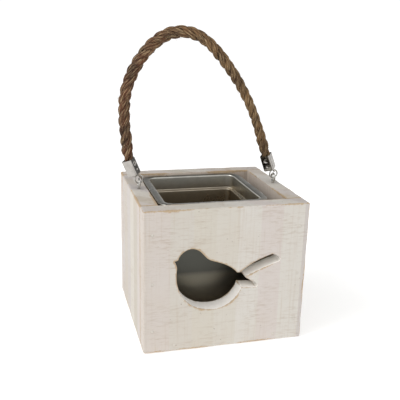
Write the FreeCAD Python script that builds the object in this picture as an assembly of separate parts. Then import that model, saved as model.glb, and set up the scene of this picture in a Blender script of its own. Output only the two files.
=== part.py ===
# Hanging lantern: a nailed wooden box with a bird cut through its front board, a pressed
# metal liner standing inside it, and a rope handle whose two end clamps hang on rings in
# screw eyes.
# Frame: origin at the centre of the box's underside, +X right, +Y to the back, +Z up.
# Millimetres. The handle stands upright at rest.
import FreeCAD, Part
import math
import os

from FreeCAD import Vector

# ---- the box ----
box_width = 140.0
box_depth = 132.0
box_height = 124.0
board = 15.0            # thickness of the four wall boards
base_board = 12.0       # thickness of the bottom board
edge_ease = 0.8         # sanded round of the outer upright edges
top_corner = 1.6        # worn corners of the front board's right end
foot_corner = 3.0

# ---- the bird cut through the front board ----
bird_length = 91.0      # beak to tail
bird_x = -15.0          # middle of its body
bird_z = 63.0

# ---- the brads that hold the boards together ----
brad_length = 32.0
brad_radius = 0.8
brad_head_radius = 1.3
brad_head = 0.9
brad_sunk = 0.6         # how far the head lies below the board's face
wall_brads = 3          # in each upright joint
wall_brad_end = 20.0    # first brad from the top and bottom
base_brads = 2          # through each wall into the bottom board
base_brad_end = 26.0    # first brad from the front and back boards' ends
side_brad_end = 44.0    # and from the box's front and back on the sides

# ---- the metal liner ----
liner_left_gap = 2.0    # from the flange's rolled edge to each wall board
liner_right_gap = 12.0
liner_front_gap = 2.3
liner_back_gap = 0.7
liner_sheet = 0.8
liner_flange = 5.8
liner_corner = 14.0     # flange's corner radius
liner_bead = 0.9        # radius of the rolled edge
liner_below_top = 1.7   # flange's top below the box's top
liner_neck = 14.0       # height of the upper wall above the ledge
liner_ledge = 3.0
liner_draft = 2.0       # degrees, of the lower walls
liner_foot_round = 5.0

# ---- the screw eyes ----
eye_wire = 1.8
eye_loop = 9.2          # outside diameter
eye_neck = 0.6          # loop's lowest point above the box
eye_shank_radius = 1.2
eye_shank = 15.0        # depth in the board
eye_point = 3.0
eye_split = 0.5         # gap where the loop's end meets the shank

# ---- the rings ----
ring_wire = 1.3
ring_outside = 8.6

# ---- the rope and its clamps ----
rope_diameter = 10.7
clamp_side = 9.4        # square section
clamp_sheet = 0.8
clamp_height = 15.0
clamp_corner = 1.6
clamp_taper = 1.3       # round of the closed end
clamp_lift = 1.5        # closed end above the ring's wire
lug_offset = 3.1        # eye hole beside the clamp's middle
lug_thick = 1.0
lug_hole = 1.4          # radius
lug_outer = 2.2
dent_radius = 2.1       # punched dents on the clamp's inner face
dent_depth = 0.45
dent_heights = (10.4, 4.9)
dent_small = 0.6        # the lower dent's share of the upper one
rope_end_gap = 0.4      # rope's end above the clamp's floor
clamps = {
    # name: side of the box, lean towards -X, direction of the dented face about the clamp
    "left_clamp": (-1, 22.6, -37.0),
    "right_clamp": (1, 20.1, -128.5),
}
# The rope's route in X and Z, from the left clamp over to the right one
rope_route = [
    (-66.3, 137.6),
    (-71.7, 150.6),
    (-73.2, 168.1),
    (-75.1, 188.0),
    (-73.7, 208.3),
    (-65.8, 228.0),
    (-53.2, 245.0),
    (-37.7, 256.0),
    (-20.0, 257.8),
    (-3.3, 250.3),
    (13.2, 232.5),
    (29.7, 209.7),
    (42.4, 184.0),
    (51.0, 158.9),
    (58.7, 137.8),
]
ARC_SHARE = 0.45        # of the shorter run beside a bend

# ---- places that follow from the sizes ----
half_width = box_width / 2
half_depth = box_depth / 2
inner_width = box_width - 2 * board
inner_depth = box_depth - 2 * board
liner_width = inner_width - liner_left_gap - liner_right_gap
liner_depth = inner_depth - liner_front_gap - liner_back_gap
joint_x = half_width - board / 2        # middle of a side board's thickness
eye_centre_z = box_height + eye_neck + eye_loop / 2
ring_mean = (ring_outside - ring_wire) / 2
ring_top_z = eye_centre_z + 2 * ring_mean
clamp_floor = clamp_lift + clamp_sheet  # inside, above the ring's wire
clamp_inside = clamp_side - 2 * clamp_sheet

nodes = {}


def block(low, high):
    """A box between two corners."""
    size = Vector(*high) - Vector(*low)
    return Part.makeBox(size.x, size.y, size.z, Vector(*low))


def upright_edges(shape, x, y):
    """The shape's vertical edges at one place in plan."""
    found = []
    for edge in shape.Edges:
        ends = [vertex.Point for vertex in edge.Vertexes]
        if len(ends) == 2 and all(abs(p.x - x) < 1e-6 and abs(p.y - y) < 1e-6 for p in ends):
            found.append(edge)
    return found


def through(points):
    """A smooth curve through the points."""
    curve = Part.BSplineCurve()
    curve.interpolate(points)
    return curve.toShape()


def rounded_rect(centre, width, depth, radius, z):
    """A closed wire: a rectangle with round corners, at height z."""
    edges = []
    x, y = width / 2 - radius, depth / 2 - radius
    corners = [(x, y), (-x, y), (-x, -y), (x, -y)]
    for turn, (cx, cy) in enumerate(corners):
        middle = Vector(centre[0] + cx, centre[1] + cy, z)
        angles = [math.radians(90 * turn + step) for step in (0, 45, 90)]
        spots = [middle + Vector(math.cos(a), math.sin(a), 0) * radius for a in angles]
        if edges:
            edges.append(Part.LineSegment(edges[-1].lastVertex().Point, spots[0]).toShape())
        edges.append(Part.Arc(*spots).toShape())
    first = edges[0].firstVertex().Point
    edges.append(Part.LineSegment(edges[-1].lastVertex().Point, first).toShape())
    return Part.Wire(edges)


def slab(centre, width, depth, radius, z, height):
    """A plate with round corners standing on height z."""
    face = Part.Face(rounded_rect(centre, width, depth, radius, z))
    return face.extrude(Vector(0, 0, height))


# ================= the bird =================

# The outline in X and Z about the middle of the body, for a bird BIRD_PATTERN long.
# Each stretch is one smooth curve, and the stretches meet in corners.
BIRD_PATTERN = 91.0
bird_stretches = [
    # under the beak
    [(-29.5, 17.3), (-28.0, 14.6), (-27.2, 11.2)],
    # breast and belly
    [(-27.2, 11.2), (-27.5, 2.0), (-24.8, -9.8), (-14.5, -22.6), (1.5, -27.7),
     (15.5, -25.0), (24.5, -17.2), (28.0, -9.8)],
    # lower tail feather: under side, tip, upper side
    [(28.0, -9.8), (41.0, -11.1)],
    [(41.0, -11.1), (42.5, -9.2), (41.0, -6.9)],
    [(41.0, -6.9), (36.2, -4.6), (31.0, -1.0)],
    # upper tail feather: under side, tip, upper side
    [(31.0, -1.0), (43.8, 4.8), (60.6, 10.8)],
    [(60.6, 10.8), (61.5, 12.6), (58.6, 16.2), (53.1, 17.6)],
    [(53.1, 17.6), (48.5, 16.2), (26.6, 3.8)],
    # the notch behind the back, then back, nape, crown and forehead
    [(26.6, 3.8), (23.6, 3.9)],
    [(23.6, 3.9), (15.6, 10.4), (5.0, 14.8), (-1.4, 17.6), (-7.5, 23.9), (-15.0, 27.4),
     (-22.2, 24.8), (-26.4, 18.4)],
    # over the beak
    [(-26.4, 18.4), (-29.5, 17.3)],
]


def bird_cutter():
    """The bird as a solid bar that runs through the front board."""
    scale = bird_length / BIRD_PATTERN
    front = -half_depth - 1.0
    edges = []
    for stretch in bird_stretches:
        spots = [Vector(bird_x + scale * x, front, bird_z + scale * z) for x, z in stretch]
        if len(spots) == 2:
            edges.append(Part.LineSegment(*spots).toShape())
        else:
            edges.append(through(spots))
    face = Part.Face(Part.Wire(edges))
    return face.extrude(Vector(0, board + 2.0, 0))


# ================= boards and brads =================

def brad(head, direction):
    """A brad driven in from a point on a board's face, and the hole that it fills."""
    start = head + direction * brad_sunk
    shank = Part.makeCylinder(brad_radius, brad_length, start, direction)
    cap = Part.makeCylinder(brad_head_radius, brad_head, start, direction)
    pit = Part.makeCylinder(brad_head_radius, brad_sunk + brad_head, head, direction)
    return shank.fuse(cap).removeSplitter(), pit.fuse(shank)


def spread(first, last, count):
    """Evenly spaced values from first to last."""
    return [first + (last - first) * i / (count - 1) for i in range(count)]


def wall_brad_places(side):
    """Heads in the front (side -1) or back (side 1) board, along the side boards' ends."""
    heights = spread(wall_brad_end, box_height - wall_brad_end, wall_brads)
    return [(Vector(x, side * half_depth, z), Vector(0, -side, 0))
            for x in (-joint_x, joint_x) for z in heights]


def base_brad_places():
    """Heads in all four walls, level with the bottom board's middle."""
    z = base_board / 2
    reach_x = half_width - base_brad_end
    reach_y = half_depth - side_brad_end
    places = []
    for side in (-1, 1):
        for x in spread(-reach_x, reach_x, base_brads):
            places.append((Vector(x, side * half_depth, z), Vector(0, -side, 0)))
        for y in spread(-reach_y, reach_y, base_brads):
            places.append((Vector(side * half_width, y, z), Vector(-side, 0, 0)))
    return places


brad_groups = {
    "front_brads": wall_brad_places(-1),
    "back_brads": wall_brad_places(1),
    "base_brads": base_brad_places(),
}
brad_holes = []
for name, places in brad_groups.items():
    pairs = [brad(*place) for place in places]
    nodes[name] = Part.makeCompound([solid for solid, hole in pairs])
    brad_holes += [hole for solid, hole in pairs]


def front_board():
    shape = block((-half_width, -half_depth, 0), (half_width, board - half_depth, box_height))
    for z, radius in ((0, foot_corner), (box_height, top_corner)):
        for edge in shape.Edges:
            middle = edge.CenterOfMass
            if abs(middle.x - half_width) < 1e-6 and abs(middle.z - z) < 1e-6:
                worn = edge
        shape = shape.makeFillet(radius, [worn])
    shape = shape.makeFillet(edge_ease, upright_edges(shape, -half_width, -half_depth))
    return shape.cut(bird_cutter())


def back_board():
    shape = block((-half_width, half_depth - board, 0), (half_width, half_depth, box_height))
    corners = [edge for x in (-half_width, half_width)
               for edge in upright_edges(shape, x, half_depth)]
    return shape.makeFillet(edge_ease, corners)


def side_board(side):
    inner = side * inner_width / 2
    outer = side * half_width
    low, high = min(inner, outer), max(inner, outer)
    return block((low, -inner_depth / 2, 0), (high, inner_depth / 2, box_height))


boards = {
    "front_board": front_board(),
    "back_board": back_board(),
    "left_board": side_board(-1),
    "right_board": side_board(1),
    "base_board": block((-inner_width / 2, -inner_depth / 2, 0),
                        (inner_width / 2, inner_depth / 2, base_board)),
}

# ================= the liner =================

def liner():
    """A pressed tub: flange with a rolled edge, neck, ledge and drafted lower walls."""
    centre = ((liner_left_gap - liner_right_gap) / 2, (liner_front_gap - liner_back_gap) / 2)
    top = box_height - liner_below_top
    shelf = top - liner_neck
    floor = base_board
    shrink = (shelf - floor) * math.tan(math.radians(liner_draft))

    def plan(inset, z):
        """The outline at height z, inset from the flange's edge."""
        radius = liner_corner - min(inset, liner_flange + liner_sheet)
        return rounded_rect(centre, liner_width - 2 * inset, liner_depth - 2 * inset, radius, z)

    def upright(inset, low, height):
        return Part.Face(plan(inset, low)).extrude(Vector(0, 0, height))

    def well(inset, low, high):
        """The drafted lower part, rounded where it meets the floor."""
        slope = shrink / (shelf - floor)
        wires = [plan(inset + slope * (shelf - z), z) for z in (high, low)]
        shape = Part.makeLoft(wires, True, True)
        foot = [edge for edge in shape.Edges if abs(edge.CenterOfMass.z - low) < 1e-6]
        return shape.makeFillet(liner_foot_round, foot)

    plate = upright(liner_bead, top - liner_sheet, liner_sheet)
    path = plan(liner_bead, top - liner_bead)
    start = path.Edges[0].firstVertex().Point
    bead = Part.Wire(Part.Circle(start, Vector(0, 1, 0), liner_bead).toShape())
    rolled = path.makePipeShell([bead], True, False)
    neck = upright(liner_flange, shelf, liner_neck)
    outside = plate.fuse([rolled, neck, well(liner_flange + liner_ledge, floor, shelf)])
    mouth = upright(liner_flange + liner_sheet, shelf + liner_sheet, liner_neck)
    inside = well(liner_flange + liner_ledge + liner_sheet, floor + liner_sheet,
                  shelf + liner_sheet)
    return outside.cut(mouth).cut(inside).removeSplitter()


nodes["liner_tub"] = liner()

# ================= eyes and rings =================

def screw_eye(side):
    """A wire loop across the board, with a pointed shank down into it."""
    x = side * joint_x
    middle = Vector(x, 0, eye_centre_z)
    loop = Part.makeTorus((eye_loop - eye_wire) / 2, eye_wire / 2, middle, Vector(1, 0, 0))
    gap_low = (x - eye_wire, eye_shank_radius, box_height)
    gap_high = (x + eye_wire, eye_shank_radius + eye_split, eye_centre_z - eye_wire)
    shank_top = eye_centre_z - eye_loop / 2 + eye_wire / 2
    straight = shank_top - box_height + eye_shank - eye_point
    foot = Vector(x, 0, shank_top - straight)
    shank = Part.makeCylinder(eye_shank_radius, straight, foot)
    point = Part.makeCone(0.2, eye_shank_radius, eye_point, foot - Vector(0, 0, eye_point))
    hole = shank.fuse(point)
    return loop.cut(block(gap_low, gap_high)).fuse(hole).removeSplitter(), hole


def ring(side):
    """A closed wire ring: its lowest wire lies in the eye, its highest in the clamp's lug."""
    middle = Vector(side * joint_x, 0, eye_centre_z + ring_mean)
    return Part.makeTorus(ring_mean, ring_wire / 2, middle, Vector(0, 1, 0))


eye_holes = []
for side, name in ((-1, "left"), (1, "right")):
    nodes[name + "_screw_eye"], eye_hole = screw_eye(side)
    eye_holes.append(eye_hole)
    nodes[name + "_ring"] = ring(side)

for name, shape in boards.items():
    for cutter in brad_holes + eye_holes:
        if shape.BoundBox.intersect(cutter.BoundBox):
            shape = shape.cut(cutter)
    nodes[name] = shape

# ================= clamps and rope =================

def seat(shape, side, lean):
    """Move a shape from the clamp's own frame, up its axis, to its place on the ring."""
    placed = shape.copy()
    placed.translate(Vector(-lug_offset, 0, 0))
    placed.rotate(Vector(0, 0, 0), Vector(0, 1, 0), -lean)
    placed.translate(Vector(side * joint_x, 0, ring_top_z))
    return placed


def turned(shape, angle):
    copy = shape.copy()
    copy.rotate(Vector(0, 0, 0), Vector(0, 0, 1), angle)
    return copy


def square_bar(side, radius, low, height):
    return slab((0, 0), side, side, radius, low, height)


def clamp(side, lean, facing):
    """A square box of folded sheet, closed below, with a lug and punched dents."""
    bar = square_bar(clamp_side, clamp_corner, clamp_lift, clamp_height)
    foot = [edge for edge in bar.Edges if abs(edge.CenterOfMass.z - clamp_lift) < 1e-6]
    pocket = square_bar(clamp_inside, clamp_corner / 2, clamp_floor, clamp_height)
    box = bar.makeFillet(clamp_taper, foot).cut(pocket)
    for height, share in zip(dent_heights, (1.0, dent_small)):
        ball = ((share * dent_radius) ** 2 + dent_depth ** 2) / (2 * dent_depth)
        middle = Vector(clamp_side / 2 + ball - dent_depth, 0, clamp_lift + height)
        box = box.cut(Part.makeSphere(ball, middle))
    along = Vector(1, 0, 0)
    disc = Part.makeCylinder(lug_outer, lug_thick, Vector(lug_offset - lug_thick / 2, 0, 0), along)
    web = block((lug_offset - lug_thick / 2, -lug_outer, 0),
                (lug_offset + lug_thick / 2, lug_outer, clamp_floor))
    bore = Part.makeCylinder(lug_hole, 2 * lug_thick, Vector(lug_offset - lug_thick, 0, 0), along)
    lug = disc.fuse(web).cut(bore)
    return seat(turned(box, facing).fuse(lug).removeSplitter(), side, lean)


def rope_path():
    """Straight runs joined by tangent arcs, each as large as its two runs allow."""
    points = [Vector(x, 0, z) for x, z in rope_route]
    edges = []
    start = points[0]
    radii = []
    for before, corner, after in zip(points, points[1:], points[2:]):
        back = before - corner
        ahead = after - corner
        turn = math.pi - back.getAngle(ahead)
        trim = ARC_SHARE * min(back.Length, ahead.Length)
        radii.append(trim / math.tan(turn / 2))
        enter = corner + back.normalize() * trim
        leave = corner + ahead.normalize() * trim
        inward = (enter + leave) * 0.5 - corner
        reach = radii[-1] / math.cos(turn / 2) - radii[-1]
        middle = corner + inward.normalize() * reach
        edges.append(Part.LineSegment(start, enter).toShape())
        edges.append(Part.Arc(enter, middle, leave).toShape())
        start = leave
    edges.append(Part.LineSegment(start, points[-1]).toShape())
    print("rope bends, radius in diameters:", [round(r / rope_diameter, 1) for r in radii])
    return Part.Wire(edges)


def rope():
    """The rope: a round tube, pinched square where the clamps grip its ends."""
    path = rope_path()
    start = path.Edges[0].firstVertex().Point
    heading = path.Edges[0].tangentAt(path.Edges[0].FirstParameter)
    section = Part.Wire(Part.Circle(start, heading, rope_diameter / 2).toShape())
    shape = path.makePipeShell([section], True, False)
    expected = math.pi * rope_diameter ** 2 / 4 * path.Length
    print("rope length", round(path.Length, 1), "volume share", round(shape.Volume / expected, 4))
    rim = clamp_lift + clamp_height
    low = clamp_floor + rope_end_gap
    for side, lean, facing in clamps.values():
        held = block((-rope_diameter, -rope_diameter, -rope_diameter),
                     (rope_diameter, rope_diameter, rim))
        neck = turned(square_bar(clamp_inside, clamp_corner / 2, low, rim + 1.0 - low), facing)
        shape = shape.cut(seat(held, side, lean)).fuse(seat(neck, side, lean))
    return shape.removeSplitter()


for name, (side, lean, facing) in clamps.items():
    nodes[name] = clamp(side, lean, facing)
nodes["rope"] = rope()

# ================= write the pieces =================

os.makedirs("parts", exist_ok=True)
for name, shape in sorted(nodes.items()):
    solids = shape.Solids
    if len(solids) == 1:
        shape = solids[0]
    shape.exportStep(f"parts/{name}.step")
    box = shape.BoundBox
    print(f"{name:16s} solids {len(solids)} valid {shape.isValid()} volume {shape.Volume:.0f}",
          f"x {box.XMin:.1f} {box.XMax:.1f} y {box.YMin:.1f} {box.YMax:.1f}",
          f"z {box.ZMin:.1f} {box.ZMax:.1f}")
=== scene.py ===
# %% [markdown]
# # A hanging lantern: wooden box, metal liner, rope handle
# The lantern is a nailed box of whitewashed pine with a bird sawn through its front. A pressed
# metal liner stands in it, and a length of laid sisal rope carries it on two folded clamps.
# The design comes in as a fixed frame, and every piece here takes its place from that frame.

import math

import bmesh
import bpy
import numpy as np
from mathutils import Matrix, Vector


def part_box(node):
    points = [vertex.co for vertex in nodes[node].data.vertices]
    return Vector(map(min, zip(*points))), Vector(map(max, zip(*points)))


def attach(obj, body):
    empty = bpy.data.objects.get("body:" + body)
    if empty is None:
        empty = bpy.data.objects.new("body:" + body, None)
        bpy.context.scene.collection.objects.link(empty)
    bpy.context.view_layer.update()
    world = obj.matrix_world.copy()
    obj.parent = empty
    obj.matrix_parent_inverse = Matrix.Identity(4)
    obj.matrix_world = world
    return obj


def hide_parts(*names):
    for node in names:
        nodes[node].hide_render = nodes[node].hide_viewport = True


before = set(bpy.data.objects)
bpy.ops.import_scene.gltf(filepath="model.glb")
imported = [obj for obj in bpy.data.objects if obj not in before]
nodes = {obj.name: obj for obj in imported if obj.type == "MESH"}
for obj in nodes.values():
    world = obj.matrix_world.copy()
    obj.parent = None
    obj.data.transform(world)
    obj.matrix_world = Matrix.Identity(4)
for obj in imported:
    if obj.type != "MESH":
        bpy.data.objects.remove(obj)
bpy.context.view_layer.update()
MM = 0.001
scene = bpy.context.scene


def place_object(name, data):
    """A new object in the scene, at the origin."""
    made = bpy.data.objects.new(name, data)
    scene.collection.objects.link(made)
    return made

# %% [markdown]
# ## The camera
# It stands a little left of the lantern's front and looks down on it, so the front, the left
# side and the open top all show. A long lens keeps the box's edges nearly parallel. Its place
# is in the lantern's own frame, and its turn is a heading, a tilt and a slight roll.

# %% Camera
CAMERA_PLACE = Vector((-141.8, -498.6, 264.6)) * MM
HEADING, TILT, ROLL = (math.radians(a) for a in (15.14, 16.57, 1.47))
LENS = 53.68                # mm on a 36 mm sensor

camera_data = bpy.data.cameras.new("camera")
camera_data.lens = LENS
camera_data.sensor_width = 36
camera_data.clip_start = 0.01
camera = place_object("camera", camera_data)
camera.matrix_world = (Matrix.Translation(CAMERA_PLACE) @ Matrix.Rotation(-HEADING, 4, "Z")
                       @ Matrix.Rotation(math.pi / 2 - TILT, 4, "X")
                       @ Matrix.Rotation(ROLL, 4, "Z"))
scene.camera = camera
print("camera", LENS, "mm lens,", round(CAMERA_PLACE.length / MM), "mm from the origin")

# %% [markdown]
# ## The rope's route
# The rope is one fixed length, held at both ends, and its own stiffness stands it up in an arch
# that leans to the left. A NURBS curve of order 3 through these control points is its middle
# line. Everything on the rope reads its points from that curve.

# %% Rope route
ROPE_DIAMETER = 10.7 * MM
rope_route = [
    (-66.3, 137.6), (-71.7, 150.6), (-73.2, 168.1), (-75.1, 188.0), (-73.7, 208.3),
    (-65.8, 228.0), (-53.2, 245.0), (-37.7, 256.0), (-20.0, 257.8), (-3.3, 250.3),
    (13.2, 232.5), (29.7, 209.7), (42.4, 184.0), (51.0, 158.9), (58.7, 137.8),
]

route_data = bpy.data.curves.new("rope_route", "CURVE")
route_data.dimensions = "3D"
spline = route_data.splines.new("NURBS")
spline.points.add(len(rope_route) - 1)
for point, (x, z) in zip(spline.points, rope_route):
    point.co = (x * MM, 0, z * MM, 1)
spline.order_u = 3
spline.use_endpoint_u = True
spline.resolution_u = 24
route = place_object("rope_route", route_data)
route_mesh = bpy.data.meshes.new_from_object(route)
route_points = np.array([vertex.co for vertex in route_mesh.vertices])
bpy.data.meshes.remove(route_mesh)
bpy.data.objects.remove(route)


def evenly(points, count):
    """The same line with evenly spaced points, and its length."""
    runs = np.linalg.norm(np.diff(points, axis=0), axis=1)
    along = np.concatenate([[0], np.cumsum(runs)])
    wanted = np.linspace(0, along[-1], count)
    return np.stack([np.interp(wanted, along, points[:, i]) for i in range(3)], 1), along[-1]


ROPE_STEPS = 460
rope_line, rope_length = evenly(route_points, ROPE_STEPS)
print("rope length", round(rope_length / MM, 1), "mm")

# %% [markdown]
# ## Colours and nodes
# Colours are written as the sRGB hex values a painter would note down, and one function turns
# them linear. One more function adds a node of any kind with its settings and its links, for
# materials and for geometry alike, so each tree reads as a list of steps. Every material starts
# from object coordinates, which are the lantern's own metres, so a pattern's scale is one over
# its real size.

# %% Helpers for materials
def linear(hex_colour):
    """An sRGB hex colour as linear RGBA."""
    parts = [int(hex_colour[i:i + 2], 16) / 255 for i in (1, 3, 5)]
    return [p / 12.92 if p <= 0.04045 else ((p + 0.055) / 1.055) ** 2.4 for p in parts] + [1]


def add(tree, kind, inputs=None, **settings):
    """A node: settings first, then each input as a value, or as a node or socket to link."""
    made = tree.nodes.new(kind)
    for name, value in settings.items():
        setattr(made, name, value)
    for name, value in (inputs or {}).items():
        socket = [s for s in made.inputs if s.enabled and name in (s.name, s.identifier)][0]
        if isinstance(value, bpy.types.Node):
            value = [s for s in value.outputs if s.enabled][0]
        if isinstance(value, bpy.types.NodeSocket):
            tree.links.new(value, socket)
        else:
            socket.default_value = value
    return made


def fill_ramp(ramp, stops):
    """Gives a colour ramp its stops, each a position and a colour."""
    for _ in stops[2:]:
        ramp.elements.new(0.5)
    for element, (position, tint) in zip(ramp.elements, stops):
        element.position = position
        element.color = linear(tint)


def start_material(name):
    """A new material: itself, its tree, its shader and its object coordinates."""
    material = bpy.data.materials.new(name)
    material.use_nodes = True
    tree = material.node_tree
    place = add(tree, "ShaderNodeTexCoord").outputs["Object"]
    return material, tree, tree.nodes["Principled BSDF"], place


def finish_shader(tree, shader, links):
    """Links each named socket of the shader."""
    for name, made in links.items():
        tree.links.new([s for s in made.outputs if s.enabled][0], shader.inputs[name])

# %% [markdown]
# ## Whitewashed pine
# Sawn pine brushed with thin white paint. The paint fills the grain and lies flat, so a board
# is near white, with faint upright bands where strips of timber are glued side by side, fine
# lines of grain, short cross marks left by the saw and a few dark specks. Handling wears it
# back to honey brown along the edges: that reads edge_gap, an attribute that holds each point's
# distance to the nearest edge in millimetres. Inside the box, which is the attribute inside,
# the wood got little paint, and its darker tone there is partly painted shade. The sawn faces
# of the bird, which is cut, are painted near white as painted light. One function lays out the
# patterns in the wood, the next brushes paint over them, and the last wears the paint off again.

# %% Patterns in sawn pine
STRIP = 19 * MM             # width of a glued strip of timber
GRAIN = 1.6 * MM            # spacing of the grain lines, as coarse as they need to show
SAW_MARK = 1.3 * MM         # spacing of the saw's cross marks
SAW_PATCH = 1 / 34          # m, size of the places where those marks show most
CLOUD = 1 / 28              # m, size of the thicker and thinner places in the paint
SPECK = 1 / 480             # m, spacing of the dark specks
RAGGED = 1 / 300            # m, size of the ups and downs in a worn edge


def sawn_pine(tree, place, seed):
    """The patterns of a board, each by name."""
    upright = add(tree, "ShaderNodeMapping", {"Vector": place, "Scale": (1, 1, 0.03)})
    crosswise = add(tree, "ShaderNodeMapping", {"Vector": place, "Scale": (0.14, 0.14, 1)})
    axes = add(tree, "ShaderNodeSeparateXYZ", {"Vector": place})
    number = add(tree, "ShaderNodeMath", {"Value": axes.outputs["X"],
                                          "Value_001": axes.outputs["Y"]}, operation="ADD")
    number = add(tree, "ShaderNodeMath", {"Value": number, "Value_001": 1 / STRIP,
                                          "Value_002": seed}, operation="MULTIPLY_ADD")
    number = add(tree, "ShaderNodeMath", {"Value": number}, operation="FLOOR")
    found = {"strips": add(tree, "ShaderNodeTexWhiteNoise", {"W": number},
                           noise_dimensions="1D")}
    for pattern, vector, size, detail, roughness, shift in (
            ("grain", upright, GRAIN, 4, 0.65, 0),
            ("saw", crosswise, SAW_MARK, 2, 0.70, 0),
            ("saw_patches", place, SAW_PATCH, 2, 0.50, 3),
            ("clouds", place, CLOUD, 3, 0.50, 0),
            ("specks", place, SPECK, 1, 0.50, 5),
            ("ragged", place, RAGGED, 4, 0.75, 0)):
        found[pattern] = add(tree, "ShaderNodeTexNoise", {
            "Vector": vector, "W": seed + shift, "Scale": 1 / size, "Detail": detail,
            "Roughness": roughness}, noise_dimensions="4D")
    return found

# %% Thin white paint
STRIP_TINTS = ("#c0baae", "#c9c5bf", "#b7b0a4", "#c6beb9", "#bdb7b3")
SHARES = {                  # a pattern's range, and the share of the layer that it brings
    "clouds": (0.45, 0.75, 0, 0.40),
    "grain": (0.54, 0.78, 0, 0.60),
    "saw": (0.50, 0.72, 0, 0.48),
    "saw_patches": (0.42, 0.60, 0.30, 1),
    "specks": (0.73, 0.79, 0, 0.60),
}


def thin_paint(tree, patterns):
    """The painted colour of a board, and the share of each layer in it."""
    shares = {pattern: add(tree, "ShaderNodeMapRange", {
        "Value": patterns[pattern], "From Min": low, "From Max": high, "To Min": least,
        "To Max": most}) for pattern, (low, high, least, most) in SHARES.items()}
    shares["marks"] = add(tree, "ShaderNodeMath", {"Value": shares["saw"],
                                                   "Value_001": shares["saw_patches"]},
                          operation="MULTIPLY")
    for attribute in ("cut", "inside"):
        shares[attribute] = add(tree, "ShaderNodeAttribute",
                                attribute_name=attribute).outputs["Fac"]
    paint = add(tree, "ShaderNodeValToRGB", {"Fac": patterns["strips"]})
    fill_ramp(paint.color_ramp, [(number / len(STRIP_TINTS), tint)
                                 for number, tint in enumerate(STRIP_TINTS)])
    # cut: the bird's sawn faces are painted near white, as painted light from the front
    for share, over in (("clouds", "#bfb4a7"), ("grain", "#b3a493"), ("marks", "#a08c79"),
                        ("specks", "#6f5c49"), ("cut", "#f4f0ea")):
        paint = add(tree, "ShaderNodeMix", {"Factor": shares[share], "A": paint,
                                            "B": linear(over)}, data_type="RGBA")
    # inside: thinner paint, and its darker tone is partly painted shade in the box
    inner = linear("#c0b4a8")
    for share, over in (("clouds", "#a99b8c"), ("grain", "#97846f")):
        inner = add(tree, "ShaderNodeMix", {"Factor": shares[share], "A": inner,
                                            "B": linear(over)}, data_type="RGBA")
    paint = add(tree, "ShaderNodeMix", {"Factor": shares["inside"], "A": paint, "B": inner},
                data_type="RGBA")
    return paint, shares

# %% Worn, whitewashed pine
GRAIN_DEPTH = 0.22 * MM
SAW_DEPTH = 0.3 * MM


def whitewashed_pine(name, seed):
    """Pine with upright grain under thin white paint, bare along its edges."""
    material, tree, shader, place = start_material(name)
    patterns = sawn_pine(tree, place, seed)
    paint, shares = thin_paint(tree, patterns)

    # how far the wear reaches, in millimetres: uneven, and more in some places than in others
    reach = add(tree, "ShaderNodeMapRange", {"Value": patterns["ragged"], "From Min": 0.30,
                                             "From Max": 0.72, "To Min": -0.25, "To Max": 2.0})
    places = add(tree, "ShaderNodeMapRange", {"Value": patterns["clouds"], "From Min": 0.38,
                                              "From Max": 0.60, "To Min": -1.0, "To Max": 1.0})
    reach = add(tree, "ShaderNodeMath", {"Value": reach, "Value_001": places}, operation="ADD")
    gap = add(tree, "ShaderNodeAttribute", attribute_name="edge_gap").outputs["Fac"]
    bare = add(tree, "ShaderNodeMath", {"Value": reach, "Value_001": gap}, operation="SUBTRACT")
    worn = add(tree, "ShaderNodeMapRange", {"Value": bare, "From Min": -0.5, "From Max": 0.7,
                                            "To Max": 0.80}, interpolation_type="SMOOTHSTEP")
    wood = add(tree, "ShaderNodeMix", {"Factor": shares["grain"], "A": linear("#ab9270"),
                                       "B": linear("#80664a")}, data_type="RGBA")
    colour = add(tree, "ShaderNodeMix", {"Factor": worn, "A": paint, "B": wood},
                 data_type="RGBA")
    rough = add(tree, "ShaderNodeMapRange", {"Value": patterns["clouds"], "From Min": 0.3,
                                             "From Max": 0.7, "To Min": 0.66, "To Max": 0.84})
    relief = add(tree, "ShaderNodeBump", {"Height": patterns["grain"], "Strength": 0.7,
                                          "Distance": GRAIN_DEPTH})
    relief = add(tree, "ShaderNodeBump", {"Height": shares["marks"], "Distance": SAW_DEPTH,
                                          "Strength": 0.4, "Normal": relief}, invert=True)
    finish_shader(tree, shader, {"Base Color": colour, "Roughness": rough, "Normal": relief})
    shader.inputs["Specular IOR Level"].default_value = 0.35
    return material


FIRST_SEED, SEED_STEP = 2.0, 7.3    # so that no two boards share a pattern
board_names = ("front_board", "back_board", "left_board", "right_board", "base_board")
pine = {name: whitewashed_pine("whitewashed_pine_" + name, FIRST_SEED + SEED_STEP * number)
        for number, name in enumerate(board_names)}
print(len(pine), "boards' finishes")

# %% [markdown]
# ## The boards
# Each board is a plain plank with sawn edges. To carry wear along its edges it needs points near
# them, so a merged copy of the designed board is sliced by planes: close together beside its
# faces and wider apart in the middle. The points on an edge then move in by an uneven fraction
# of a millimetre, as knocks leave it, and the box as a whole is sanded round at its outer edges.
# Each point also takes along three marks for the paint: edge_gap, inside and cut.

# %% Helpers for the boards
SHARP = math.radians(35)    # a crease that counts as an edge
SLICE = 3.0 * MM
NEAR_FACE = (0.4 * MM, 1.0 * MM, 2.2 * MM)
BOX_ROUND = 1.7 * MM        # how round the box's outer edges are sanded
BRAD_BAND = 14 * MM         # the margin of a board that holds its brads
SAND_WAVE = 45 * MM         # how slowly that roundness changes along an edge
WORN_DEPTH = 0.9 * MM       # how far from an edge the wood is worn
WEAR_WAVE = 26 * MM         # how slowly the wear changes along an edge
BRAD_CLEAR = 2.0 * MM       # edges this near a brad are its filled hole


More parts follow.
